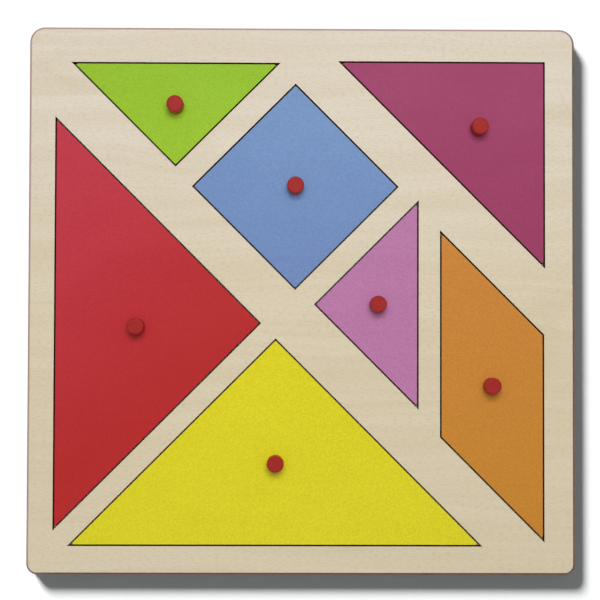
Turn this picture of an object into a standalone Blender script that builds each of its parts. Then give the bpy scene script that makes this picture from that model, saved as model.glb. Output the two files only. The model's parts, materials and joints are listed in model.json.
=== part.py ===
"""Tangram inset puzzle: a plywood tray with seven painted tiles, each lifted out by its peg.

Units are metres and +Z is up. The origin is the middle of the tray's underside.
"""

import math
from typing import NamedTuple

import bmesh
import bpy
from mathutils import Vector

# Tangram: the seven tiles together make a square of this side, drawn on a grid of cells
TANGRAM_SIDE = 0.2236
GRID_CELLS = 4

# How far each tile moves out of that square, which leaves the strips of frame between the tiles
RED_LEFT = 0.0229
RED_DOWN = 0.0129
YELLOW_LEFT = 0.0140
YELLOW_DOWN = 0.0222
BLUE_LEFT = 0.0034
BLUE_UP = 0.0064
GREEN_LEFT = 0.0134
GREEN_UP = 0.0181
PURPLE_RIGHT = 0.0216
PURPLE_UP = 0.0192
PINK_RIGHT = 0.0079
PINK_DOWN = 0.0025
ORANGE_RIGHT = 0.0210
ORANGE_DOWN = 0.0190

# Tray: a thin base glued under a thicker frame, with margins outside the outermost recesses
LEFT_MARGIN = 0.01445
RIGHT_MARGIN = 0.01645
TOP_MARGIN = 0.01825
BOTTOM_MARGIN = 0.01575
TRAY_TOP_CORNER_RADIUS = 0.0082
TRAY_BOTTOM_CORNER_RADIUS = 0.0058
TRAY_EDGE_ROUND = 0.0012
BASE_THICKNESS = 0.0030
FRAME_THICKNESS = 0.0060

# Tiles: cut from the frame's own sheet, so as thick as the frame and flush with it
TILE_CLEARANCE = 0.0005
TILE_CORNER_RADIUS = 0.0008
TILE_EDGE_ROUND = 0.0004

# Pegs: a turned head on a shank that is glued into a blind hole
PEG_DIAMETER = 0.0092
PEG_HEIGHT = 0.0098
PEG_TOP_ROUND = 0.0010
PEG_FOOT_CHAMFER = 0.0003
PEG_SHANK_DIAMETER = 0.0050
PEG_SHANK_CHAMFER = 0.0005
PEG_HOLE_FLOOR = 0.0015
PEG_HOLE_CLEARANCE = 0.0003

# Where each peg is drilled: its distance from the long side of a triangle, and how far it strays
# from the middle of that side or of the tile
RED_PEG_INSET = 0.0445
YELLOW_PEG_INSET = 0.0446
PURPLE_PEG_INSET = 0.0281
GREEN_PEG_INSET = 0.0234
PINK_PEG_INSET = 0.0219
RED_PEG_DOWN = 0.0020
ORANGE_PEG_LEFT = 0.0006

# Gap left between pieces that rest on each other or are glued together
SEAT_GAP = 0.0003

# Fineness of the round shapes, and the angle past which an edge is shaded sharp
TRAY_CORNER_STEPS = 8
TILE_CORNER_STEPS = 4
EDGE_STEPS = 3
PEG_ROUND_STEPS = 4
PEG_SIDES = 32
SHARP_ANGLE = math.radians(30)

# How far a cutting tool runs past the face that it cuts, and how near points are merged
CUT_PAST = 0.0010
MERGE_DISTANCE = 0.000005

# Levels, from the underside up
FRAME_BOTTOM = BASE_THICKNESS + SEAT_GAP
FRAME_TOP = FRAME_BOTTOM + FRAME_THICKNESS
TILE_BOTTOM = BASE_THICKNESS + SEAT_GAP
TILE_THICKNESS = FRAME_THICKNESS

# Colours as seen, in 8-bit values of red, green and blue, and how rough each finish is
BIRCH = (215, 203, 179)
PEG_RED = (160, 48, 46)
BARE_WOOD = 0.55
SATIN_PAINT = 0.45
LACQUER = 0.40


class Tile(NamedTuple):
    """One tile: its corners on the grid, anticlockwise, with the long side first on a triangle."""

    name: str
    corners: tuple
    shift: tuple
    colour: tuple
    peg_inset: float | None = None
    peg_stray: tuple = (0, 0)


TILES = (
    Tile("red_large_triangle", ((-2, 2), (-2, -2), (0, 0)), (-RED_LEFT, -RED_DOWN),
         (186, 54, 62), RED_PEG_INSET, (0, -RED_PEG_DOWN)),
    Tile("yellow_large_triangle", ((-2, -2), (2, -2), (0, 0)), (-YELLOW_LEFT, -YELLOW_DOWN),
         (216, 206, 42), YELLOW_PEG_INSET),
    Tile("purple_medium_triangle", ((0, 2), (2, 0), (2, 2)), (PURPLE_RIGHT, PURPLE_UP),
         (160, 73, 108), PURPLE_PEG_INSET),
    Tile("green_small_triangle", ((0, 2), (-2, 2), (-1, 1)), (-GREEN_LEFT, GREEN_UP),
         (153, 193, 56), GREEN_PEG_INSET),
    Tile("pink_small_triangle", ((1, -1), (1, 1), (0, 0)), (PINK_RIGHT, -PINK_DOWN),
         (185, 122, 166), PINK_PEG_INSET),
    Tile("blue_square", ((0, 0), (1, 1), (0, 2), (-1, 1)), (-BLUE_LEFT, BLUE_UP),
         (119, 146, 192)),
    Tile("orange_parallelogram", ((1, 1), (1, -1), (2, -2), (2, 0)), (ORANGE_RIGHT, -ORANGE_DOWN),
         (197, 131, 58), peg_stray=(-ORANGE_PEG_LEFT, 0)),
)


# Outlines: lists of points in the plane, convex and anticlockwise

def outward(direction):
    """Normal that points out of an anticlockwise outline, beside a side that runs this way."""
    return Vector((direction.y, -direction.x))


def side_directions(outline, index):
    """Directions of the two sides that meet at a corner."""
    corner = outline[index]
    before = (corner - outline[index - 1]).normalized()
    after = (outline[(index + 1) % len(outline)] - corner).normalized()
    return before, after


def offset_corner(outline, index, distance):
    """A corner of the outline, moved so that both its sides move outwards by a distance."""
    before, after = side_directions(outline, index)
    normals = outward(before) + outward(after)
    return outline[index] + normals * distance / (1 + before.dot(after))


def offset_outline(outline, distance):
    """The outline with every side moved outwards by a distance."""
    return [offset_corner(outline, index, distance) for index in range(len(outline))]


def round_outline(outline, radii, steps):
    """The outline with each corner turned into an arc of its own radius."""
    points = []
    for index, radius in enumerate(radii):
        centre = offset_corner(outline, index, -radius)
        before, after = side_directions(outline, index)
        start = outward(before)
        turn = math.atan2(before.cross(after), before.dot(after))
        for step in range(steps + 1):
            angle = math.atan2(start.y, start.x) + turn * step / steps
            points.append(centre + radius * Vector((math.cos(angle), math.sin(angle))))
    return points


def moved_outline(outline, offset):
    """The outline moved bodily."""
    return [point + offset for point in outline]


# Layout of the tray

def tile_corners(tile):
    """Sharp corners of a tile where it lies, before the tray is centred."""
    cell = TANGRAM_SIDE / GRID_CELLS
    return [Vector(corner) * cell + Vector(tile.shift) for corner in tile.corners]


def tray_limits():
    """Lowest and highest corner of the tray: the recesses' own limits and the margins."""
    points = []
    for tile in TILES:
        points += offset_outline(tile_corners(tile), TILE_CLEARANCE)
    across = [point.x for point in points]
    along = [point.y for point in points]
    low = Vector((min(across) - LEFT_MARGIN, min(along) - BOTTOM_MARGIN))
    high = Vector((max(across) + RIGHT_MARGIN, max(along) + TOP_MARGIN))
    return low, high


def peg_place(tile, corners):
    """Point of a tile where its peg stands."""
    if tile.peg_inset is None:
        middle = sum(corners, Vector((0, 0))) / len(corners)
    else:
        inward = -outward((corners[1] - corners[0]).normalized())
        middle = (corners[0] + corners[1]) / 2 + inward * tile.peg_inset
    return middle + Vector(tile.peg_stray)


# Solids

def prism(outline, bottom, top):
    """Mesh of an outline raised from one level to another."""
    mesh = bmesh.new()
    floor = mesh.faces.new([mesh.verts.new((x, y, bottom)) for x, y in outline])
    raised = bmesh.ops.extrude_face_region(mesh, geom=[floor])
    lifted = [item for item in raised["geom"] if isinstance(item, bmesh.types.BMVert)]
    bmesh.ops.translate(mesh, verts=lifted, vec=(0, 0, top - bottom))
    bmesh.ops.recalc_face_normals(mesh, faces=mesh.faces)
    return mesh


def round_rim(mesh, level, radius):
    """Round the edge that runs round a prism at one level."""
    rim = []
    for edge in mesh.edges:
        if all(math.isclose(vert.co.z, level, abs_tol=radius / 2) for vert in edge.verts):
            rim.append(edge)
    bmesh.ops.bevel(mesh, geom=rim, offset=radius, offset_type="OFFSET", segments=EDGE_STEPS,
                    profile=0.5, affect="EDGES", material=-1, clamp_overlap=True)


def turned(profile):
    """Mesh of a profile of radius and height, turned about the upright axis."""
    mesh = bmesh.new()
    points = [mesh.verts.new((radius, 0, height)) for radius, height in profile]
    edges = [mesh.edges.new(pair) for pair in zip(points, points[1:])]
    bmesh.ops.spin(mesh, geom=points + edges, cent=(0, 0, 0), axis=(0, 0, 1), angle=math.tau,
                   steps=PEG_SIDES, use_merge=True)
    bmesh.ops.remove_doubles(mesh, verts=mesh.verts, dist=MERGE_DISTANCE)
    bmesh.ops.recalc_face_normals(mesh, faces=mesh.faces)
    return mesh


def linear(colour):
    """Linear red, green, blue and alpha of an 8-bit colour."""
    shares = [value / 255 for value in colour]
    return [((share + 0.055) / 1.055) ** 2.4 for share in shares] + [1.0]


def make_piece(name, mesh, parent, place, colour, roughness):
    """Named object of a mesh, at its place on its parent, with a material of its own."""
    data = bpy.data.meshes.new(name)
    mesh.to_mesh(data)
    mesh.free()
    data.shade_smooth()
    data.set_sharp_from_angle(angle=SHARP_ANGLE)
    material = bpy.data.materials.new(name)
    material.use_nodes = True
    shader = material.node_tree.nodes["Principled BSDF"]
    shader.inputs["Base Color"].default_value = linear(colour)
    shader.inputs["Roughness"].default_value = roughness
    shader.inputs["Metallic"].default_value = 0.0
    data.materials.append(material)
    piece = bpy.data.objects.new(name, data)
    piece.parent = parent
    piece.location = place
    bpy.context.scene.collection.objects.link(piece)
    return piece


def cut(piece, name, mesh):
    """Cut a mesh, given in the piece's own coordinates, out of the piece."""
    data = bpy.data.meshes.new(name)
    mesh.to_mesh(data)
    mesh.free()
    cutter = bpy.data.objects.new(name, data)
    cutter.parent = piece
    cutter.hide_render = True
    cutter.display_type = "WIRE"
    bpy.context.scene.collection.objects.link(cutter)
    boolean = piece.modifiers.new(name, "BOOLEAN")
    boolean.operation = "DIFFERENCE"
    boolean.solver = "EXACT"
    boolean.object = cutter


# Pieces of the puzzle

def make_base(tray, outline):
    """Thin sheet that closes the recesses from below."""
    mesh = prism(outline, 0, BASE_THICKNESS)
    round_rim(mesh, 0, TRAY_EDGE_ROUND)
    make_piece("base_board", mesh, tray, (0, 0, 0), BIRCH, BARE_WOOD)


def make_frame(tray, outline, recesses):
    """Thicker sheet with a through recess for each tile."""
    mesh = prism(outline, 0, FRAME_THICKNESS)
    round_rim(mesh, FRAME_THICKNESS, TRAY_EDGE_ROUND)
    frame = make_piece("frame_board", mesh, tray, (0, 0, FRAME_BOTTOM), BIRCH, BARE_WOOD)
    for name, recess in recesses.items():
        cut(frame, name + "_recess", prism(recess, -CUT_PAST, FRAME_THICKNESS + CUT_PAST))


def peg_profile():
    """Radius and height along a peg, from the tip of its shank to the middle of its top."""
    shank = PEG_SHANK_DIAMETER / 2
    head = PEG_DIAMETER / 2
    tip = PEG_HOLE_FLOOR + PEG_HOLE_CLEARANCE - TILE_THICKNESS - SEAT_GAP
    profile = [
        (0, tip),
        (shank - PEG_SHANK_CHAMFER, tip),
        (shank, tip + PEG_SHANK_CHAMFER),
        (shank, 0),
        (head - PEG_FOOT_CHAMFER, 0),
        (head, PEG_FOOT_CHAMFER),
    ]
    for step in range(PEG_ROUND_STEPS + 1):
        angle = math.pi / 2 * step / PEG_ROUND_STEPS
        radius = head - PEG_TOP_ROUND * (1 - math.cos(angle))
        height = PEG_HEIGHT - PEG_TOP_ROUND * (1 - math.sin(angle))
        profile.append((radius, height))
    profile.append((0, PEG_HEIGHT))
    return profile


def peg_hole():
    """Cutting tool for the blind hole that takes a peg's shank."""
    radius = PEG_SHANK_DIAMETER / 2 + PEG_HOLE_CLEARANCE
    above = TILE_THICKNESS + CUT_PAST
    return turned([(0, PEG_HOLE_FLOOR), (radius, PEG_HOLE_FLOOR), (radius, above), (0, above)])


def make_tile(tray, tile, corners):
    """One tile and its peg, both with their origin on the line that the peg is lifted along."""
    peg_at = peg_place(tile, corners)
    radii = [TILE_CORNER_RADIUS] * len(corners)
    outline = round_outline(moved_outline(corners, -peg_at), radii, TILE_CORNER_STEPS)
    mesh = prism(outline, 0, TILE_THICKNESS)
    round_rim(mesh, 0, TILE_EDGE_ROUND)
    round_rim(mesh, TILE_THICKNESS, TILE_EDGE_ROUND)
    place = (peg_at.x, peg_at.y, TILE_BOTTOM)
    piece = make_piece(tile.name, mesh, tray, place, tile.colour, SATIN_PAINT)
    cut(piece, tile.name + "_hole", peg_hole())
    seat = TILE_THICKNESS + SEAT_GAP
    make_piece(tile.name + "_peg", turned(peg_profile()), piece, (0, 0, seat), PEG_RED, LACQUER)


def build():
    """Clear the scene and make the whole puzzle."""
    for old in list(bpy.data.objects):
        bpy.data.objects.remove(old)
    tray = bpy.data.objects.new("tray", None)
    bpy.context.scene.collection.objects.link(tray)

    low, high = tray_limits()
    centre = (low + high) / 2
    places = {tile.name: moved_outline(tile_corners(tile), -centre) for tile in TILES}
    recesses = {name: offset_outline(corners, TILE_CLEARANCE) for name, corners in places.items()}
    half = (high - low) / 2
    square = [Vector(corner) * half for corner in ((-1, -1), (1, -1), (1, 1), (-1, 1))]
    radii = [TRAY_BOTTOM_CORNER_RADIUS] * 2 + [TRAY_TOP_CORNER_RADIUS] * 2
    outline = round_outline(square, radii, TRAY_CORNER_STEPS)

    make_base(tray, outline)
    make_frame(tray, outline, recesses)
    for tile in TILES:
        make_tile(tray, tile, places[tile.name])
    print(f"tray {high.x - low.x:.4f} by {high.y - low.y:.4f} m, top at {FRAME_TOP:.4f} m")


build()
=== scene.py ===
# %% [markdown]
# # A tangram in a plywood tray
#
# Seven painted tiles lie in the cut-outs of a square plywood tray, and each has a red peg to lift it by.
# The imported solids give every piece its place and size. This script gives those pieces their fine edges,
# their wood and their paint, and lights them as the photograph does.

# %% Load the solids
import json
import math

import bmesh
import bpy
from mathutils import Matrix, Vector

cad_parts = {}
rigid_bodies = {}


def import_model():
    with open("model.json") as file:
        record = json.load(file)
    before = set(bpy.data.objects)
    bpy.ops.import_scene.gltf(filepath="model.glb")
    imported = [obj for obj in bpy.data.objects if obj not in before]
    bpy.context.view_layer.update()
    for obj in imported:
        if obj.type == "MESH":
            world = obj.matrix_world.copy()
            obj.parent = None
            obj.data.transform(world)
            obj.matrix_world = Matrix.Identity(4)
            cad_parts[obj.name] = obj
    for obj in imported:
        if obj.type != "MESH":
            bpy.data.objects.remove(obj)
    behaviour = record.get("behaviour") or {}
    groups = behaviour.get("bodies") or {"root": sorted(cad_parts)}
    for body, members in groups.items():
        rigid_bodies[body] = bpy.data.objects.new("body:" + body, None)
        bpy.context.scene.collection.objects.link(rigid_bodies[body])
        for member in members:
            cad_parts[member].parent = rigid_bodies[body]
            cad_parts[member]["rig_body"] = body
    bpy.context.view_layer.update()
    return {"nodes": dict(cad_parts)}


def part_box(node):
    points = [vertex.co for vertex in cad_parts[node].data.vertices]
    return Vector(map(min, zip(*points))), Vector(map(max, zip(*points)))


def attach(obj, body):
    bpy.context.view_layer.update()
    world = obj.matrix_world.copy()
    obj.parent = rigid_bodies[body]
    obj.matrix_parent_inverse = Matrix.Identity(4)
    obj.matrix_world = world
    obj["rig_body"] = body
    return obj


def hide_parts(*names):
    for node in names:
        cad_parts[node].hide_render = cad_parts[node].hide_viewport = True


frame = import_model()
MM = 0.001

# %% [markdown]
# ## Camera
#
# The puzzle was photographed from almost straight above with a long lens. The lean and the distance come
# from how far the peg tops stand out of line with their feet, and from the straight cuts of the recesses.
# A long lens keeps the square nearly square, which a wide one close by would not.

# %% Camera
CAMERA_PLACE = (-12.06 * MM, -27.21 * MM, 906.4 * MM)
CAMERA_LEAN = (1.747, -0.703, 0.184)
SENSOR_WIDTH = 36.0
FOCAL_LENGTH = 98.16

lens = bpy.data.cameras.new("camera")
lens.sensor_width = SENSOR_WIDTH
lens.lens = FOCAL_LENGTH
camera = bpy.data.objects.new("camera", lens)
camera.location = CAMERA_PLACE
camera.rotation_mode = "ZYX"
camera.rotation_euler = [math.radians(angle) for angle in CAMERA_LEAN]
bpy.context.scene.collection.objects.link(camera)
bpy.context.scene.camera = camera
bpy.context.scene.view_settings.view_transform = "Standard"

# %% [markdown]
# ## Helpers for shader nodes
#
# A procedural finish is a chain of small nodes, and a few helpers keep the chains readable. They add a node
# and fill its sockets, do one sum, ease one range of values into another, mix two colours, and make a noise
# that can be stretched like wood fibre. Colours are written in the 8-bit values that a paint chart gives,
# and turned into the linear values that a renderer works in.

# %% Colours
BRIGHTEST = 255
CURVE_LIFT = 0.055
CURVE_POWER = 2.4


def linear(colour):
    """Linear red, green, blue and alpha of an 8-bit colour."""
    shares = [value / BRIGHTEST for value in colour]
    return [((share + CURVE_LIFT) / (1 + CURVE_LIFT)) ** CURVE_POWER for share in shares] + [1.0]


MID_GREY = (128, 128, 128)
print("mid grey is", round(linear(MID_GREY)[0], 3), "in linear light")

# %% Nodes and sums
MIX_SHARE = 0
MIX_FIRST = 6
MIX_SECOND = 7
MIX_COLOUR = 2


def add(tree, kind, sockets=None, **settings):
    """A new node with its settings, whose sockets are filled by links or by plain values."""
    made = tree.nodes.new(kind)
    for name, value in settings.items():
        setattr(made, name, value)
    for socket, value in (sockets or {}).items():
        if isinstance(value, bpy.types.NodeSocket):
            tree.links.new(value, made.inputs[socket])
        else:
            made.inputs[socket].default_value = value
    return made


def math_node(tree, operation, *values):
    """Result of one sum on sockets or plain numbers."""
    made = add(tree, "ShaderNodeMath", dict(enumerate(values)), operation=operation)
    return made.outputs["Value"]


def ramp(tree, value, low, high, start=0.0, end=1.0):
    """Smooth change from start to end while a value goes from low to high."""
    made = add(tree, "ShaderNodeMapRange",
               {"Value": value, "From Min": low, "From Max": high, "To Min": start, "To Max": end},
               interpolation_type="SMOOTHSTEP")
    return made.outputs["Result"]


def blend(tree, share, first, second):
    """Colour that goes from the first to the second, each a socket or a linear colour."""
    made = add(tree, "ShaderNodeMix", {MIX_SHARE: share, MIX_FIRST: first, MIX_SECOND: second},
               data_type="RGBA")
    return made.outputs[MIX_COLOUR]


print("sums, ramps and blends are ready")

# %% Noise
NOISE_RANGE = (0.3, 0.7)


def noise(tree, place, per_metre, detail, distortion=0.0):
    """Noise from 0 to 1 with its own count of features for each metre along X, Y and Z."""
    scaled = add(tree, "ShaderNodeMapping", {"Vector": place, "Scale": per_metre})
    made = add(tree, "ShaderNodeTexNoise",
               {"Vector": scaled.outputs["Vector"], "Scale": 1.0, "Detail": detail,
                "Distortion": distortion})
    return made.outputs["Fac"]


print("most of a noise lies between", *NOISE_RANGE)

# %% Groups
def new_group(name, inputs, outputs):
    """Empty shader node group with named sockets, its input node and its output node."""
    group = bpy.data.node_groups.new(name, "ShaderNodeTree")
    for socket, kind in inputs.items():
        group.interface.new_socket(name=socket, in_out="INPUT", socket_type=kind)
    for socket in outputs:
        group.interface.new_socket(name=socket, in_out="OUTPUT", socket_type="NodeSocketFloat")
    return group, group.nodes.new("NodeGroupInput"), group.nodes.new("NodeGroupOutput")


def put_out(group, output, values):
    """Link a group's values to its outputs and say how large the group is."""
    for name, value in values.items():
        group.links.new(value, output.inputs[name])
    print(group.name, "has", len(group.nodes), "nodes and puts out", *values)


def use_group(tree, group, sockets):
    """A shared group placed in a tree, with its own values."""
    return add(tree, "ShaderNodeGroup", sockets, node_tree=group)


print("groups are ready")

# %% [markdown]
# ## Birch figure, shared by all the wood
#
# Birch veneer is peeled off a turning log, so its figure is faint: broad wavy bands, thin streaks, fine
# fibres along the sheet, tiny short pores, and here and there a browner cloud. It could be one image for
# each board, but a node group does it for every sheet at once and follows the piece wherever it goes. The
# fibres run along X, as in the photograph, so the noise has few features along X and many across. A slow
# noise first bends the place itself, and that makes all the lines wave together.

# %% Birch figure
# Each texture has its features per metre along X, Y and Z, then its detail and any distortion.
WAVES = ((9, 16, 16), 1.0)
BANDS = ((4, 85, 85), 2.0)
STREAKS = ((9, 330, 330), 2.0)
CLOUDS = ((12, 30, 30), 3.0, 0.6)
FIBRES = ((28, 900, 900), 3.0)
PORES = ((380, 1400, 1400), 1.0)
WAVE_MIDDLE = 0.5
WAVE_HEIGHT = 22 * MM
BAND_SHARE = 0.6
TONE_RANGE = (0.36, 0.64)
CLOUD_RANGE = (0.56, 0.76)
PORE_RANGE = (0.45, 0.72)

birch_figure, wood_in, wood_out = new_group(
    "birch_figure", {"Place": "NodeSocketVector"}, ("Tone", "Cloud", "Pore", "Fibre"))
flat_place = wood_in.outputs["Place"]
wave = math_node(birch_figure, "SUBTRACT", noise(birch_figure, flat_place, *WAVES), WAVE_MIDDLE)
lift = math_node(birch_figure, "MULTIPLY", wave, WAVE_HEIGHT)
bent = add(birch_figure, "ShaderNodeCombineXYZ", {"Y": lift}).outputs["Vector"]
moved = add(birch_figure, "ShaderNodeVectorMath", {0: flat_place, 1: bent}, operation="ADD")
wavy_place = moved.outputs["Vector"]
bands = noise(birch_figure, wavy_place, *BANDS)
streaks = noise(birch_figure, wavy_place, *STREAKS)
streak_share = math_node(birch_figure, "MULTIPLY", streaks, 1 - BAND_SHARE)
figure_tone = math_node(birch_figure, "MULTIPLY_ADD", bands, BAND_SHARE, streak_share)
put_out(birch_figure, wood_out, {
    "Tone": ramp(birch_figure, figure_tone, *TONE_RANGE),
    "Cloud": ramp(birch_figure, noise(birch_figure, wavy_place, *CLOUDS), *CLOUD_RANGE),
    "Pore": ramp(birch_figure, noise(birch_figure, wavy_place, *PORES), *PORE_RANGE),
    "Fibre": noise(birch_figure, wavy_place, *FIBRES),
})

# %% [markdown]
# ## Bare birch
#
# The faces of the tray are sanded birch with a thin matt sealer, so they stay pale and hardly shine.
# The colour drifts slowly across the sheet, paler and a little cooler on the side away from the viewer:
# that drift is painted light, as the lamps light the far side more. Bands, clouds and pores shift it by a
# few parts in a hundred, because that is all that the photograph shows. The fibres also make a relief of a
# few hundredths of a millimetre.

# %% A material and its relief
def new_material(name, gloss):
    """Named material, with its node tree and its Principled shader."""
    material = bpy.data.materials.new(name)
    material.use_nodes = True
    shader = material.node_tree.nodes["Principled BSDF"]
    shader.inputs["Specular IOR Level"].default_value = gloss
    return material, material.node_tree, shader


def bump(tree, shader, height, distance, strength):
    """Relief of a height socket, in metres, on a shader."""
    made = add(tree, "ShaderNodeBump", {"Height": height, "Distance": distance, "Strength": strength})
    tree.links.new(made.outputs["Normal"], shader.inputs["Normal"])


def tint(tree, colour, mask, strength, mark):
    """A colour that takes on some of a mark's colour where a mask is 1."""
    return blend(tree, math_node(tree, "MULTIPLY", mask, strength), colour, mark)


print("materials, relief and tints are ready")

# %% Bare birch
# The paler, cooler colour is painted light on the far side of the sheet; the deeper one is the wood's own.
BIRCH_LIT_FAR = linear((221, 211, 194))
BIRCH_DEEP = linear((217, 204, 176))
BIRCH_TAN = linear((196, 178, 137))
BIRCH_PORE = linear((184, 160, 124))
PAINTED_LIGHT_RANGE = (-65 * MM, 155 * MM)
BAND_STRENGTH = 0.24
CLOUD_STRENGTH = 0.26
PORE_STRENGTH = 0.24
BIRCH_ROUGHNESS = (0.44, 0.54)
BIRCH_GLOSS = 0.35
FIBRE_RELIEF = (0.05 * MM, 0.5)

bare_birch, wood, wood_shader = new_material("bare_birch", BIRCH_GLOSS)
place = add(wood, "ShaderNodeTexCoord").outputs["Object"]
figure = use_group(wood, birch_figure, {"Place": place}).outputs
across = add(wood, "ShaderNodeSeparateXYZ", {"Vector": place}).outputs["Y"]
# Painted light: paler and cooler towards the far side, where the lamps light the sheet more.
painted_light = ramp(wood, across, *PAINTED_LIGHT_RANGE, 1.0, 0.0)
lit_tone = blend(wood, painted_light, BIRCH_LIT_FAR, BIRCH_DEEP)
banded = tint(wood, lit_tone, figure["Tone"], BAND_STRENGTH, BIRCH_TAN)
clouded = tint(wood, banded, figure["Cloud"], CLOUD_STRENGTH, BIRCH_TAN)
pored = tint(wood, clouded, figure["Pore"], PORE_STRENGTH, BIRCH_PORE)
wood.links.new(pored, wood_shader.inputs["Base Color"])
birch_roughness = ramp(wood, figure["Fibre"], *NOISE_RANGE, *BIRCH_ROUGHNESS)
wood.links.new(birch_roughness, wood_shader.inputs["Roughness"])
bump(wood, wood_shader, figure["Fibre"], *FIBRE_RELIEF)
print(bare_birch.name, "drifts from", [round(value, 2) for value in BIRCH_LIT_FAR[:3]], "to",
      [round(value, 2) for value in BIRCH_DEEP[:3]])

# %% [markdown]
# ## Browned plywood edges
#
# Every outline was cut with heat, which browns the plies, so the photograph shows a thin brown line round
# the tray and an almost black one round each tile. Seen from the side, plywood has a layer of long fibres,
# then one of cut fibre ends, which takes more heat and goes darker, and a thin line of glue between them.
# The layers are counted from the height alone, so they stay level all round the corners. The outer edge
# was sanded round afterwards, which leaves it lighter than the narrow cuts inside. Its rim is painted light
# along the far and left sides and painted shade along the near and right ones. The narrow cuts have soot
# along their upper rim, painted nearly black, so that it is partly soot and partly painted shade of the gaps.

# %% Ply layers
RIM_DEPTH = 0.7 * MM
PLY_MIDDLE = 0.5
GLUE_RANGE = (0.42, 0.49)
SCORCH = ((140, 140, 420), 3.0)

ply_layers, ply_in, ply_out = new_group(
    "ply_layers",
    {"Place": "NodeSocketVector", "Bottom": "NodeSocketFloat", "Top": "NodeSocketFloat",
     "Plies": "NodeSocketFloat"},
    ("End grain", "Glue", "Rim", "Scorch"))
ply_place, bottom, top, plies = [ply_in.outputs[name] for name in ("Place", "Bottom", "Top", "Plies")]
height = add(ply_layers, "ShaderNodeSeparateXYZ", {"Vector": ply_place}).outputs["Z"]
counted = add(ply_layers, "ShaderNodeMapRange",
              {"Value": height, "From Min": bottom, "From Max": top, "To Max": plies})
count = counted.outputs["Result"]
inside = math_node(ply_layers, "SUBTRACT", math_node(ply_layers, "FRACT", count), PLY_MIDDLE)
below_rim = math_node(ply_layers, "SUBTRACT", top, height)
put_out(ply_layers, ply_out, {
    "End grain": math_node(ply_layers, "MODULO", math_node(ply_layers, "FLOOR", count), 2),
    "Glue": ramp(ply_layers, math_node(ply_layers, "ABSOLUTE", inside), *GLUE_RANGE),
    "Rim": ramp(ply_layers, below_rim, 0.0, RIM_DEPTH, 1.0, 0.0),
    "Scorch": noise(ply_layers, ply_place, *SCORCH),
})

# %% Browned wood
BROWN_LONG = linear((158, 112, 90))
BROWN_ENDS = linear((118, 78, 64))
BROWN_GLUE = linear((84, 54, 46))
BROWN_DEEP = linear((92, 56, 47))
SCORCH_RANGE = (0.45, 0.75)
SCORCH_STRENGTH = 0.6


def shade(colour, amount):
    """A linear colour made lighter or darker by a factor."""
    return [value * amount for value in colour[:3]] + [1.0]


def browned_wood(tree, layers, left):
    """Colour of the plies in a cut, with the share of lightness that the heat left."""
    wood_layers = blend(tree, layers["End grain"], shade(BROWN_LONG, left), shade(BROWN_ENDS, left))
    glued = blend(tree, layers["Glue"], wood_layers, shade(BROWN_GLUE, left))
    scorch = ramp(tree, layers["Scorch"], *SCORCH_RANGE, 0.0, SCORCH_STRENGTH)
    return blend(tree, scorch, glued, shade(BROWN_DEEP, left))


print("browned wood goes from", [round(value, 2) for value in BROWN_LONG[:3]], "to",
      [round(value, 2) for value in BROWN_GLUE[:3]])

# %% Browned edges
# The two rim colours of the frame are painted light and shade: lighter along the far and left sides, darker
# along the near and right ones.
RIM_PAINTED_LIGHT = linear((186, 161, 155))
RIM_PAINTED_SHADE = linear((98, 82, 77))
# Nearly black: partly soot on the rim of the narrow cuts, partly painted shade of the narrow gaps.
SOOT_AND_GAP_SHADE = linear((14, 10, 9))
SANDED = 1.0
CHARRED = 0.52
RIM_LIGHT_TURN = 15 * MM
EDGE_ROUGHNESS = (0.62, 0.80)
EDGE_GLOSS = 0.25
SCORCH_RELIEF = (0.08 * MM, 0.6)


def browned_edge(name, node, plies, far_rim, near_rim, left):
    """Browned edge of a plywood sheet: its plies, its upper rim with a far and a near colour that can be
    painted light and shade, and the lightness left.
    """
    material, tree, shader = new_material(name, EDGE_GLOSS)
    low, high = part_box(node)
    place = add(tree, "ShaderNodeTexCoord").outputs["Object"]
    sockets = {"Place": place, "Bottom": low.z, "Top": high.z, "Plies": plies}
    layers = use_group(tree, ply_layers, sockets).outputs
    apart = add(tree, "ShaderNodeSeparateXYZ", {"Vector": place}).outputs
    # Painted light and shade: the rim turns from its far colour to its near colour across the tray.
    near = math_node(tree, "SUBTRACT", apart["X"], apart["Y"])
    rim = blend(tree, ramp(tree, near, -RIM_LIGHT_TURN, RIM_LIGHT_TURN), far_rim, near_rim)
    edge = blend(tree, layers["Rim"], browned_wood(tree, layers, left), rim)
    tree.links.new(edge, shader.inputs["Base Color"])
    roughness = ramp(tree, layers["Scorch"], *NOISE_RANGE, *EDGE_ROUGHNESS)
    tree.links.new(roughness, shader.inputs["Roughness"])
    bump(tree, shader, layers["Scorch"], *SCORCH_RELIEF)
    return material


BASE_PLIES = 3
FRAME_PLIES = 5
base_edge = browned_edge("sanded_base_edge", "base_board", BASE_PLIES, BROWN_DEEP, BROWN_DEEP, SANDED)
# The frame's rim is painted light along the far and left sides and painted shade along the near and right
# ones.
frame_edge = browned_edge("sanded_frame_edge", "frame_board", FRAME_PLIES, RIM_PAINTED_LIGHT, RIM_PAINTED_SHADE, SANDED)
# The cuts' upper rim is nearly black, partly soot and partly painted shade of the narrow gaps.
charred_cut = browned_edge("charred_cut", "frame_board", FRAME_PLIES, SOOT_AND_GAP_SHADE, SOOT_AND_GAP_SHADE, CHARRED)
print(BASE_PLIES, "plies in the base and", FRAME_PLIES, "in the frame and the tiles")

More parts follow.
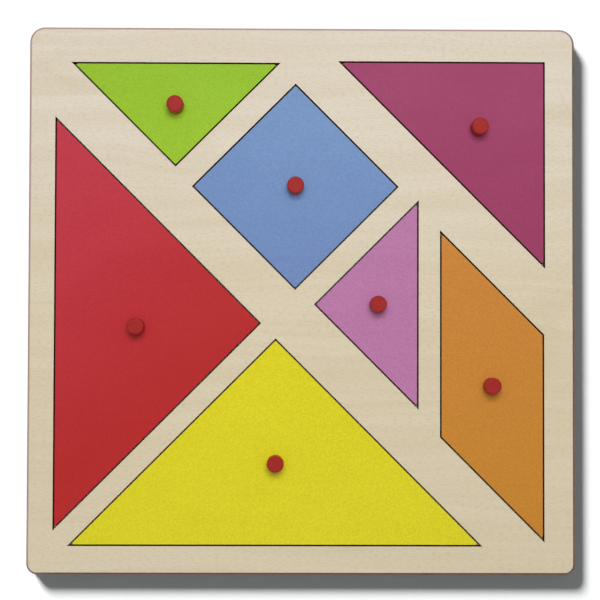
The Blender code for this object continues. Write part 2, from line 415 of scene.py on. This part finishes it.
# %% [markdown]
# ## Satin paint
#
# The tiles have a thin coat of satin paint on their upper face. Paint is never quite even: it is a little
# thicker here and thinner there, the fibres show through faintly, and the roller leaves a fine pebbled
# skin. Its hollows are painted a little darker and its bumps a little lighter: painted shade and light.
# On the rounded arris the coat is thin and small nicks show the wood.
# One group makes the unevenness. Each tile's material adds its own colour, which drifts a little from the
# far end of the tile to the near end, as it does in the photograph. On the red tile it drifts sideways too,
# from the far left corner to the near right side, and its pinker, cooler far colour is a painted sheen.

# %% Paint film
COAT_CLOUDS = ((22, 40, 40), 2.0, 0.4)
PEBBLES = ((1150, 1150, 1150), 1.0)
NICKS = ((260, 260, 260), 3.0)
NICK_RANGE = (0.60, 0.70)
ARRIS_RANGE = (0.02 * MM, 0.25 * MM)

paint_film, film_in, film_out = new_group(
    "paint_film", {"Place": "NodeSocketVector", "Top": "NodeSocketFloat"}, ("Cloud", "Pebble", "Nick"))
film_place = film_in.outputs["Place"]
film_height = add(paint_film, "ShaderNodeSeparateXYZ", {"Vector": film_place}).outputs["Z"]
below_top = math_node(paint_film, "SUBTRACT", film_in.outputs["Top"], film_height)
arris = ramp(paint_film, below_top, *ARRIS_RANGE)
nicks = ramp(paint_film, noise(paint_film, film_place, *NICKS), *NICK_RANGE)
put_out(paint_film, film_out, {
    "Cloud": ramp(paint_film, noise(paint_film, film_place, *COAT_CLOUDS), *NOISE_RANGE),
    "Pebble": noise(paint_film, film_place, *PEBBLES),
    "Nick": math_node(paint_film, "MULTIPLY", arris, nicks),
})

# %% Coat of paint
THICK_COAT = 0.955
CLOUD_SHARE = 0.6
PEBBLE_SHARE = 0.55
GRAIN_SHARE = 0.25
PEBBLE_SHADE_AND_LIGHT = 0.075


def uneven_coat(tree, film, figure, distance, far, near):
    """Colour of a coat that is thick in places, pebbled with painted shade and light, and drifts from near to
    far.
    """
    clouded = math_node(tree, "MULTIPLY", film["Cloud"], CLOUD_SHARE)
    pebbled = math_node(tree, "MULTIPLY_ADD", film["Pebble"], PEBBLE_SHARE, clouded)
    thickness = math_node(tree, "MULTIPLY_ADD", figure["Tone"], GRAIN_SHARE, pebbled)
    thin_coat = blend(tree, distance, near, far)
    thick_coat = blend(tree, distance, shade(near, THICK_COAT), shade(far, THICK_COAT))
    coat = blend(tree, thickness, thin_coat, thick_coat)
    # Painted shade and light: the pebbles' hollows are darker and their bumps lighter.
    lightness = ramp(tree, film["Pebble"], *NOISE_RANGE, 1 - PEBBLE_SHADE_AND_LIGHT, 1 + PEBBLE_SHADE_AND_LIGHT)
    pebble_shaded = add(tree, "ShaderNodeVectorMath", {0: coat, "Scale": lightness}, operation="SCALE")
    return pebble_shaded.outputs["Vector"]


print("a thick coat is", round(100 * (1 - THICK_COAT), 1), "percent darker than a thin one")

# %% Satin paint
PAINT_ROUGHNESS = (0.42, 0.48)
PAINT_GLOSS = 0.35
PEBBLE_RELIEF = (0.05 * MM, 0.5)


def satin_paint(name, node, far, near, sideways):
    """Satin paint on the birch of one tile: its far and near colour, and how far it drifts sideways."""
    material, tree, shader = new_material(name, PAINT_GLOSS)
    place = add(tree, "ShaderNodeTexCoord").outputs["Object"]
    film = use_group(tree, paint_film, {"Place": place, "Top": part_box(node)[1].z}).outputs
    figure = use_group(tree, birch_figure, {"Place": place}).outputs
    away = Vector((-sideways, 1, 0))
    reach = [away.dot(vert.co) for vert in frame["nodes"][node].data.vertices]
    along = add(tree, "ShaderNodeVectorMath", {0: place, 1: away}, operation="DOT_PRODUCT")
    distance = ramp(tree, along.outputs["Value"], min(reach), max(reach))
    coat = uneven_coat(tree, film, figure, distance, linear(far), linear(near))
    tree.links.new(blend(tree, film["Nick"], coat, BIRCH_DEEP), shader.inputs["Base Color"])
    roughness = ramp(tree, film["Cloud"], 0.0, 1.0, *PAINT_ROUGHNESS)
    tree.links.new(roughness, shader.inputs["Roughness"])
    bump(tree, shader, film["Pebble"], *PEBBLE_RELIEF)
    return material


print("paint has a roughness from", *PAINT_ROUGHNESS)

# %% Seven colours
# Each tile has its colour's name, its far and near colour, and how far the drift leans sideways.
PAINTS = {
    # The red tile's pinker, cooler far colour, towards its far left corner, is a painted sheen.
    "red_large_triangle": ("red", (190, 50, 67), (181, 33, 31), 0.9),
    "yellow_large_triangle": ("yellow", (220, 210, 21), (220, 210, 28), 0.0),
    "purple_medium_triangle": ("purple", (157, 63, 101), (151, 54, 93), 0.0),
    "green_small_triangle": ("green", (146, 188, 34), (152, 192, 38), 0.0),
    "pink_small_triangle": ("pink", (183, 118, 163), (185, 119, 164), 0.0),
    "blue_square": ("blue", (116, 146, 191), (111, 137, 186), 0.0),
    "orange_parallelogram": ("orange", (201, 130, 49), (197, 131, 40), 0.0),
}
paints = {}
for node, (colour_name, far, near, sideways) in PAINTS.items():
    paints[node] = satin_paint(colour_name + "_paint", node, far, near, sideways)
print(len(paints), "paints")

# %% [markdown]
# ## Sheets of plywood
#
# The solids already have the right outline, so each board and tile starts from a copy of its solid with
# the loose triangles merged. That keeps the piece exactly in its place, where drawing it again could miss
# by a hair. Sanding also takes the sharpness off the mouths of the recesses, so a narrow bevel goes round
# them. The merged mesh can then be shaded smoothly over its rounded edges, and weighted normals keep its
# large faces flat to the eye. Its faces can take four finishes: the upper face, the outer edge, the under
# face and the inner cuts.

# %% Merged copies
MERGE_DISTANCE = 0.002 * MM
FLAT_ANGLE = math.radians(0.2)


def merged_copy(node):
    """Mesh of a solid with its loose triangles joined."""
    mesh = bmesh.new()
    mesh.from_mesh(frame["nodes"][node].data)
    bmesh.ops.remove_doubles(mesh, verts=mesh.verts, dist=MERGE_DISTANCE)
    bmesh.ops.dissolve_limit(mesh, angle_limit=FLAT_ANGLE, verts=mesh.verts, edges=mesh.edges)
    return mesh


trial = merged_copy("frame_board")
print("the frame's", len(frame["nodes"]["frame_board"].data.polygons), "triangles become", len(trial.faces))
trial.free()

# %% Eased mouths
MOUTH_ANGLE = math.radians(60)
MOUTH_EASE = 0.20 * MM
MOUTH_STEPS = 2


def round_edges(mesh, edges, amount, steps):
    """Edges rounded over by an amount, in a number of steps."""
    bmesh.ops.bevel(mesh, geom=edges, offset=amount, offset_type="OFFSET", segments=steps, profile=0.5,
                    affect="EDGES", material=-1)


def ease_mouths(mesh, top):
    """Round the sharp edges that lie level with the top a little."""
    sharp = []
    for edge in mesh.edges:
        level_with_top = all(vert.co.z > top - MERGE_DISTANCE for vert in edge.verts)
        if level_with_top and edge.calc_face_angle() > MOUTH_ANGLE:
            sharp.append(edge)
    round_edges(mesh, sharp, MOUTH_EASE, MOUTH_STEPS)


print("mouths are eased by", round(MOUTH_EASE / MM, 2), "mm")

# %% Finished pieces
SMOOTH_ANGLE = math.radians(36)


def finish_piece(mesh, name, node, materials):
    """Named piece that stands for a solid, rides on the solid's body and takes its finishes."""
    data = bpy.data.meshes.new(name)
    mesh.to_mesh(data)
    mesh.free()
    if "custom_normal" in data.attributes:
        data.attributes.remove(data.attributes["custom_normal"])
    for material in materials:
        data.materials.append(material)
    data.shade_smooth()
    data.set_sharp_from_angle(angle=SMOOTH_ANGLE)
    piece = bpy.data.objects.new(name, data)
    bpy.context.scene.collection.objects.link(piece)
    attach(piece, frame["nodes"][node]["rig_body"])
    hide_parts(node)
    weighted = piece.modifiers.new("weighted_normals", "WEIGHTED_NORMAL")
    weighted.keep_sharp = True
    print(name, "has", len(data.polygons), "faces and measures",
          [round(side / MM, 1) for side in piece.dimensions], "mm")


print("edges up to", round(math.degrees(SMOOTH_ANGLE)), "degrees are shaded smoothly")

# %% Boards
LEVEL = 0.99
OUTER_STRIP = 10 * MM
UPPER, EDGE, UNDER, CUT = range(4)


def sheet(name, node, materials, level):
    """Board or tile with finishes for its upper face, outer edge, under face and inner cuts."""
    mesh = merged_copy(node)
    low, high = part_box(node)
    ease_mouths(mesh, high.z)
    for face in mesh.faces:
        middle = face.calc_center_median()
        inset = min(middle.x - low.x, high.x - middle.x, middle.y - low.y, high.y - middle.y)
        if face.normal.z > level:
            face.material_index = UPPER
        elif face.normal.z < -LEVEL:
            face.material_index = UNDER
        else:
            face.material_index = CUT if inset > OUTER_STRIP else EDGE
    finish_piece(mesh, name, node, materials)


base_finishes = (bare_birch, base_edge, bare_birch, base_edge)
frame_finishes = (bare_birch, frame_edge, bare_birch, charred_cut)
sheet("base_sheet", "base_board", base_finishes, LEVEL)
sheet("frame_sheet", "frame_board", frame_finishes, LEVEL)

# %% [markdown]
# ## Tiles
#
# A tile is a piece of the same plywood, cut out along a browned line, so it is made as a board is. The
# paint runs a little way over the rounded arris before it stops, and that is a matter of how steep a face
# may be and still count as the upper one. The under face stays bare.

# %% Tiles
PAINTED_ARRIS = 0.86

for node, paint in paints.items():
    colour_name = PAINTS[node][0]
    tile_finishes = (paint, charred_cut, bare_birch, charred_cut)
    sheet(colour_name + "_tile", node, tile_finishes, PAINTED_ARRIS)

# %% [markdown]
# ## Red lacquer of the pegs
#
# The pegs have a coat of red lacquer that is glossier than the paint, and thin enough for the upright
# fibres of the dowel to show as a slight change of tone and relief. All seven could share Object
# coordinates, but then the pattern would run across the tray and ignore the grain of each peg. So the
# material reads a place that each peg remembers for itself.

# %% Red lacquer
PEG_PALE = linear((161, 31, 25))
PEG_DEEP = linear((146, 25, 19))
PEG_FIBRES = ((1300, 1300, 45), 2.0)
PEG_RINGS = ((260, 900, 12), 1.0, 0.6)
RING_SHARE = 0.5
PEG_TONE_RANGE = (0.35, 0.65)
PEG_ROUGHNESS = (0.36, 0.44)
PEG_GLOSS = 0.35
PEG_RELIEF = (0.04 * MM, 0.5)

peg_red, lacquer, peg_shader = new_material("peg_red", PEG_GLOSS)
peg_place = add(lacquer, "ShaderNodeAttribute", attribute_name="peg_place").outputs["Vector"]
peg_fibres = noise(lacquer, peg_place, *PEG_FIBRES)
peg_rings = math_node(lacquer, "MULTIPLY", noise(lacquer, peg_place, *PEG_RINGS), RING_SHARE)
peg_tone = math_node(lacquer, "MULTIPLY_ADD", peg_fibres, 1 - RING_SHARE, peg_rings)
peg_colour = blend(lacquer, ramp(lacquer, peg_tone, *PEG_TONE_RANGE), PEG_PALE, PEG_DEEP)
lacquer.links.new(peg_colour, peg_shader.inputs["Base Color"])
peg_roughness = ramp(lacquer, peg_fibres, *NOISE_RANGE, *PEG_ROUGHNESS)
lacquer.links.new(peg_roughness, peg_shader.inputs["Roughness"])
bump(lacquer, peg_shader, peg_tone, *PEG_RELIEF)
print(peg_red.name, "has", len(lacquer.nodes), "nodes")

# %% [markdown]
# ## Turned pegs
#
# A peg is turned from a dowel: a head to hold, with its top edge rounded over, on a thinner shank that is
# glued into the tile. A lathe profile of eight points, spun round the axis, makes it in one step, and a
# bevel then rounds the top edge. Each point also remembers its place within the peg, turned by a different
# angle on each, so that one material gives all the pegs upright fibres without making them alike.

# %% Spinning a profile
PEG_SIDES = 72
TOP_ROUND = 1.0 * MM
TOP_STEPS = 6


def spun_peg(profile):
    """Closed mesh of a profile that is given as distances from the axis and heights."""
    mesh = bmesh.new()
    points = [mesh.verts.new((out, 0, up)) for out, up in profile]
    edges = [mesh.edges.new(pair) for pair in zip(points, points[1:])]
    bmesh.ops.spin(mesh, geom=points + edges, cent=(0, 0, 0), axis=(0, 0, 1), angle=math.tau,
                   steps=PEG_SIDES, use_merge=True)
    bmesh.ops.remove_doubles(mesh, verts=mesh.verts, dist=MERGE_DISTANCE)
    return mesh


def round_top(mesh, top, radius):
    """Round the edge of the head's top over."""
    rim = []
    for edge in mesh.edges:
        level_with_top = all(vert.co.z > top - MERGE_DISTANCE for vert in edge.verts)
        if level_with_top and all(vert.co.xy.length > radius / 2 for vert in edge.verts):
            rim.append(edge)
    round_edges(mesh, rim, TOP_ROUND, TOP_STEPS)
    bmesh.ops.recalc_face_normals(mesh, faces=mesh.faces)


print("pegs are spun in", PEG_SIDES, "steps")

# %% Turned pegs
SHANK_RADIUS = 2.5 * MM
SHANK_CHAMFER = 0.5 * MM
FOOT_CHAMFER = 0.3 * MM
FOOT_GAP = 0.02 * MM
PEG_TURN = math.radians(51)


def turned_peg(node, tile_node, number):
    """Peg of a tile, spun from its profile, standing where its solid stands."""
    low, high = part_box(node)
    axis = Vector(((low.x + high.x) / 2, (low.y + high.y) / 2, 0))
    radius = (high.x - low.x) / 2
    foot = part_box(tile_node)[1].z + FOOT_GAP
    mesh = spun_peg([
        (0, low.z), (SHANK_RADIUS - SHANK_CHAMFER, low.z), (SHANK_RADIUS, low.z + SHANK_CHAMFER),
        (SHANK_RADIUS, foot), (radius - FOOT_CHAMFER, foot), (radius, foot + FOOT_CHAMFER),
        (radius, high.z), (0, high.z)])
    round_top(mesh, high.z, radius)
    remembered = mesh.verts.layers.float_vector.new("peg_place")
    turn = Matrix.Rotation(PEG_TURN * number, 3, "Z")
    for vert in mesh.verts:
        vert[remembered] = turn @ vert.co + Vector((0, 0, number * radius))
    bmesh.ops.translate(mesh, verts=mesh.verts, vec=axis)
    finish_piece(mesh, PAINTS[tile_node][0] + "_peg", node, (peg_red,))


for number, tile_node in enumerate(PAINTS):
    turned_peg(tile_node + "_peg", tile_node, number)

# %% [markdown]
# ## Floor
#
# The tray lies on white paper. A large flat square a hair below the tray is enough for that, because a
# curved backdrop would never come into this view. The paper glows faintly, which sets how grey and how cool
# the shadow on it is without any more light on the puzzle.

# %% Floor
FLOOR_DROP = 0.2 * MM
FLOOR_HALF = 4.0
FLOOR_WHITE = linear((243, 243, 243))
FLOOR_ROUGHNESS = 0.9
FLOOR_GLOSS = 0.0
SHADE_TINT = (0.72, 1.0, 0.98, 1.0)
SHADE_GLOW = 0.05

floor_mesh = bmesh.new()
bmesh.ops.create_grid(floor_mesh, x_segments=1, y_segments=1, size=FLOOR_HALF)
bmesh.ops.translate(floor_mesh, verts=floor_mesh.verts, vec=(0, 0, -FLOOR_DROP))
floor_data = bpy.data.meshes.new("floor")
floor_mesh.to_mesh(floor_data)
floor_mesh.free()
floor_paper, _, paper_shader = new_material("floor_paper", FLOOR_GLOSS)
paper_shader.inputs["Base Color"].default_value = FLOOR_WHITE
paper_shader.inputs["Roughness"].default_value = FLOOR_ROUGHNESS
paper_shader.inputs["Emission Color"].default_value = SHADE_TINT
paper_shader.inputs["Emission Strength"].default_value = SHADE_GLOW
floor_data.materials.append(floor_paper)
floor = bpy.data.objects.new("floor", floor_data)
bpy.context.scene.collection.objects.link(floor)
print("floor of", 2 * FLOOR_HALF, "m")

# %% [markdown]
# ## World
#
# The ground of the photograph is pure white, and the world shows that to the camera alone. To the puzzle it
# gives only a little light from all sides, because a white world would wash out every shade. Glossy surfaces
# mirror a white horizon and a darker ceiling, so that they keep their colour when seen from above.

# %% World
AMBIENT = 0.12
WHITE = 1.0
CEILING_GLINT = 0.25
HORIZON_RANGE = (0.35, 0.65)
MIX_FIRST_VALUE = 2
MIX_SECOND_VALUE = 3
MIX_VALUE = 0


def blend_values(tree, share, first, second):
    """Value that goes from the first to the second, each a socket or a plain number."""
    made = add(tree, "ShaderNodeMix", {MIX_SHARE: share, MIX_FIRST_VALUE: first, MIX_SECOND_VALUE: second})
    return made.outputs[MIX_VALUE]


world = bpy.data.worlds.new("studio")
world.use_nodes = True
bpy.context.scene.world = world
sky = world.node_tree
rays = add(sky, "ShaderNodeLightPath").outputs
mirrored = math_node(sky, "MAXIMUM", rays["Is Glossy Ray"], rays["Is Transmission Ray"])
direction = add(sky, "ShaderNodeTexCoord").outputs["Generated"]
upward = add(sky, "ShaderNodeSeparateXYZ", {"Vector": direction}).outputs["Z"]
backdrop = ramp(sky, upward, *HORIZON_RANGE, WHITE, CEILING_GLINT)
lit = blend_values(sky, mirrored, AMBIENT, backdrop)
shown = blend_values(sky, rays["Is Camera Ray"], lit, WHITE)
background = sky.nodes["Background"]
background.inputs["Color"].default_value = (WHITE, WHITE, WHITE, 1.0)
sky.links.new(shown, background.inputs["Strength"])
print("ambient light", AMBIENT)

# %% [markdown]
# ## Lamps
#
# The photograph has one soft grey shadow to the lower right, and on the tray itself only faint shading
# under the pegs. One lamp can't do both, so two sets work side by side, and light linking keeps them apart.
# A low sun from the upper left lights the floor alone and throws the tray's shadow. Three soft lamps light
# the puzzle alone: a softbox from the far side, a small bluish window behind it and a wide warm ceiling.

# %% Lamps and what they light
floor_only = bpy.data.collections.new("floor_only")
floor_only.objects.link(floor)
all_but_floor = bpy.data.collections.new("all_but_floor")
all_but_floor.objects.link(floor)
all_but_floor.collection_objects[0].light_linking.link_state = "EXCLUDE"


def hang_lamp(name, kind, place, lights):
    """Lamp that looks at the middle of the tray and lights only one set of objects."""
    lamp = bpy.data.objects.new(name, bpy.data.lights.new(name, kind))
    lamp.location = place
    lamp.rotation_mode = "QUATERNION"
    lamp.rotation_quaternion = (-place).to_track_quat("-Z", "Y")
    lamp.visible_camera = False
    lamp.light_linking.receiver_collection = lights
    bpy.context.scene.collection.objects.link(lamp)
    return lamp


print("lamps light", floor_only.name, "or", all_but_floor.name)

# %% Sun for the floor
SUN_FROM = Vector((-8.1, 11.8, 9.3))
SUN_STRENGTH = 5.6
SUN_SPREAD = math.radians(15)

sun = hang_lamp("floor_sun", "SUN", SUN_FROM, floor_only)
sun.data.energy = SUN_STRENGTH
sun.data.angle = SUN_SPREAD
print("sun stands", round(math.degrees(math.asin(SUN_FROM.normalized().z))), "degrees up")

# %% Soft lamps for the puzzle
# Each lamp has its place, its size, its power and its colour.
SOFT_LAMPS = {
    "softbox": (Vector((0.02, 0.30, 1.24)), 0.62, 11.4, (1.0, 1.0, 1.0)),
    "window": (Vector((0.0, 0.66, 1.60)), 0.5, 2.6, (0.62, 0.75, 1.0)),
    "ceiling": (Vector((0.0, 0.0, 1.70)), 3.0, 10.8, (1.04, 1.0, 0.94)),
}

for name, (place, size, power, colour) in SOFT_LAMPS.items():
    lamp = hang_lamp(name, "AREA", place, all_but_floor)
    lamp.data.size = size
    lamp.data.energy = power
    lamp.data.color = colour
    print(name, "of", size, "m at", round(place.length, 2), "m")
bpy.data.objects["softbox"].visible_glossy = False
